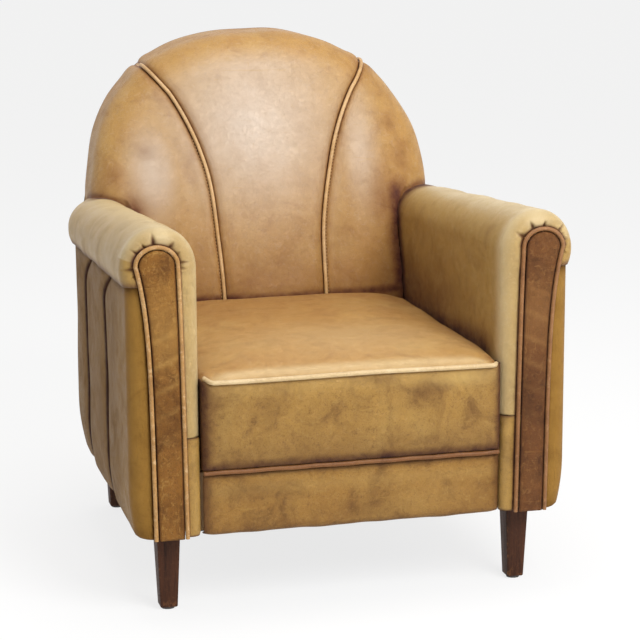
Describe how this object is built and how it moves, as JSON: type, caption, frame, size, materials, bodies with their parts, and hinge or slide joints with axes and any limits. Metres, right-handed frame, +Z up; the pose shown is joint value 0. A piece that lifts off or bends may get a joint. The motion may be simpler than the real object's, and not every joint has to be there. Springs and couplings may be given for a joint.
{
  "type": "club chair",
  "caption": "Worn leather club chair with an arched fan back, rolled arms with upright facings, a tight padded seat and tapered wooden legs.",
  "frame": {"origin": "on the floor, under the middle of the chair's box", "axes": "+Z up, +Y towards the back of the chair, so a sitter looks along -Y; +X is right as seen from the front"},
  "size_m": [0.734, 0.8286, 0.8733],
  "materials": {
    "tan_leather": "worn satin, creased",
    "dark_leather": "rubbed matte, scratched",
    "pale_piping": "rubbed pale",
    "brown_piping": "worn satin",
    "beech": "bare planed",
    "dark_wood": "stained satin, scuffed feet",
    "steel": "bare wire and bolts",
    "nylon": "matte",
    "stuffing": "foam and wadding",
    "jute": "coarse weave",
    "black_cloth": "thin matte"
  },
  "bodies": {
    "root": {"front_rail": "beech", "rear_rail": "beech", "left_side_rail": "beech", "right_side_rail": "beech", "left_corner_block": "beech", "right_corner_block": "beech", "left_arm_stump": "beech", "right_arm_stump": "beech", "left_arm_rail": "beech", "right_arm_rail": "beech", "left_back_post": "beech", "right_back_post": "beech", "back_arch_rail": "beech", "back_cross_rail": "beech", "left_front_leg": "dark_wood", "right_front_leg": "dark_wood", "left_rear_leg": "dark_wood", "right_rear_leg": "dark_wood", "left_front_leg_bolt": "steel", "right_front_leg_bolt": "steel", "left_rear_leg_bolt": "steel", "right_rear_leg_bolt": "steel", "left_front_glide": "nylon", "right_front_glide": "nylon", "left_rear_glide": "nylon", "right_rear_glide": "nylon", "seat_spring_1": "steel", "seat_spring_2": "steel", "seat_spring_3": "steel", "seat_spring_4": "steel", "spring_cover": "jute", "low_back_strap": "jute", "high_back_strap": "jute", "dust_cover": "black_cloth", "seat_stuffing": "stuffing", "back_stuffing": "stuffing", "left_arm_stuffing": "stuffing", "right_arm_stuffing": "stuffing", "seat_top_leather": "tan_leather", "seat_front_border": "tan_leather", "seat_piping": "pale_piping", "lower_piping": "brown_piping", "front_apron": "tan_leather", "left_inside_arm_leather": "tan_leather", "right_inside_arm_leather": "tan_leather", "left_outside_arm_panel": "tan_leather", "right_outside_arm_panel": "tan_leather", "left_lower_arm_strip": "tan_leather", "right_lower_arm_strip": "tan_leather", "left_facing": "dark_leather", "right_facing": "dark_leather", "left_facing_piping": "brown_piping", "right_facing_piping": "brown_piping", "back_leather_left": "tan_leather", "back_leather_centre": "tan_leather", "back_leather_right": "tan_leather", "left_back_piping": "brown_piping", "right_back_piping": "brown_piping", "outside_back": "tan_leather"}
  },
  "joints": []
}
